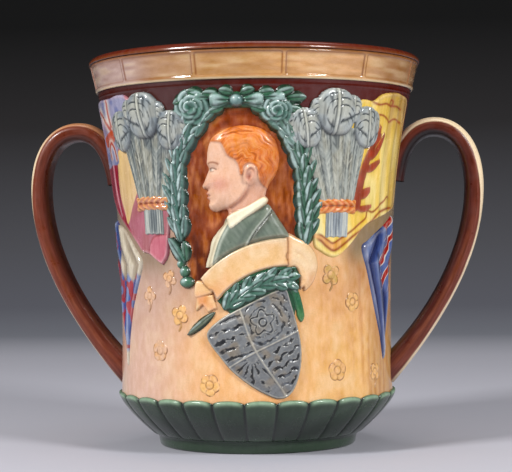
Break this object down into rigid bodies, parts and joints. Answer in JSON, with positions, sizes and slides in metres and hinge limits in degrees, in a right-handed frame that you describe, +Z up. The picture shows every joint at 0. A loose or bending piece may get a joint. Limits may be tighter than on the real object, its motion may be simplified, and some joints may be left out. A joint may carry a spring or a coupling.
{
  "type": "loving cup",
  "caption": "Large two-handled glazed pottery loving cup: flared wall, fluted base, panelled rim, and sprigged relief of a portrait, laurel, plumes, ribbon, shield and drapery.",
  "frame": {"origin": "centre of the foot ring, on the table", "axes": "+X towards the right handle, -Y towards the front with the portrait, +Z up to the lip"},
  "size_m": [0.3116, 0.2252, 0.261],
  "materials": {
    "cream_glaze": "gloss glaze",
    "tan_glaze": "gloss glaze",
    "bottle_green_glaze": "gloss glaze",
    "chestnut_glaze": "gloss glaze",
    "laurel_glaze": "gloss glaze",
    "portrait_glaze": "gloss glaze",
    "ribbon_glaze": "gloss glaze",
    "slate_glaze": "gloss glaze",
    "ochre_glaze": "gloss glaze",
    "plume_glaze": "gloss glaze",
    "orange_glaze": "gloss glaze",
    "crimson_glaze": "gloss glaze",
    "straw_glaze": "gloss glaze",
    "pennant_glaze": "gloss glaze"
  },
  "bodies": {
    "root": {"cup_body": "cream_glaze", "rim_band": "tan_glaze", "fluted_base": "bottle_green_glaze", "handle_left": "chestnut_glaze", "handle_right": "chestnut_glaze", "wreath_front": "laurel_glaze", "bust_front": "portrait_glaze", "ribbon_front": "ribbon_glaze", "spray_front": "laurel_glaze", "shield_front": "slate_glaze", "flowers_front": "ochre_glaze", "plume_front_left": "plume_glaze", "tie_front_left": "orange_glaze", "drape_front_left": "crimson_glaze", "pennant_front_left": "pennant_glaze", "plume_front_right": "plume_glaze", "tie_front_right": "orange_glaze", "drape_front_right": "straw_glaze", "pennant_front_right": "pennant_glaze", "wreath_back": "laurel_glaze", "bust_back": "portrait_glaze", "ribbon_back": "ribbon_glaze", "spray_back": "laurel_glaze", "shield_back": "slate_glaze", "flowers_back": "ochre_glaze", "plume_back_left": "plume_glaze", "tie_back_left": "orange_glaze", "drape_back_left": "crimson_glaze", "pennant_back_left": "pennant_glaze", "plume_back_right": "plume_glaze", "tie_back_right": "orange_glaze", "drape_back_right": "straw_glaze", "pennant_back_right": "pennant_glaze"}
  },
  "joints": []
}
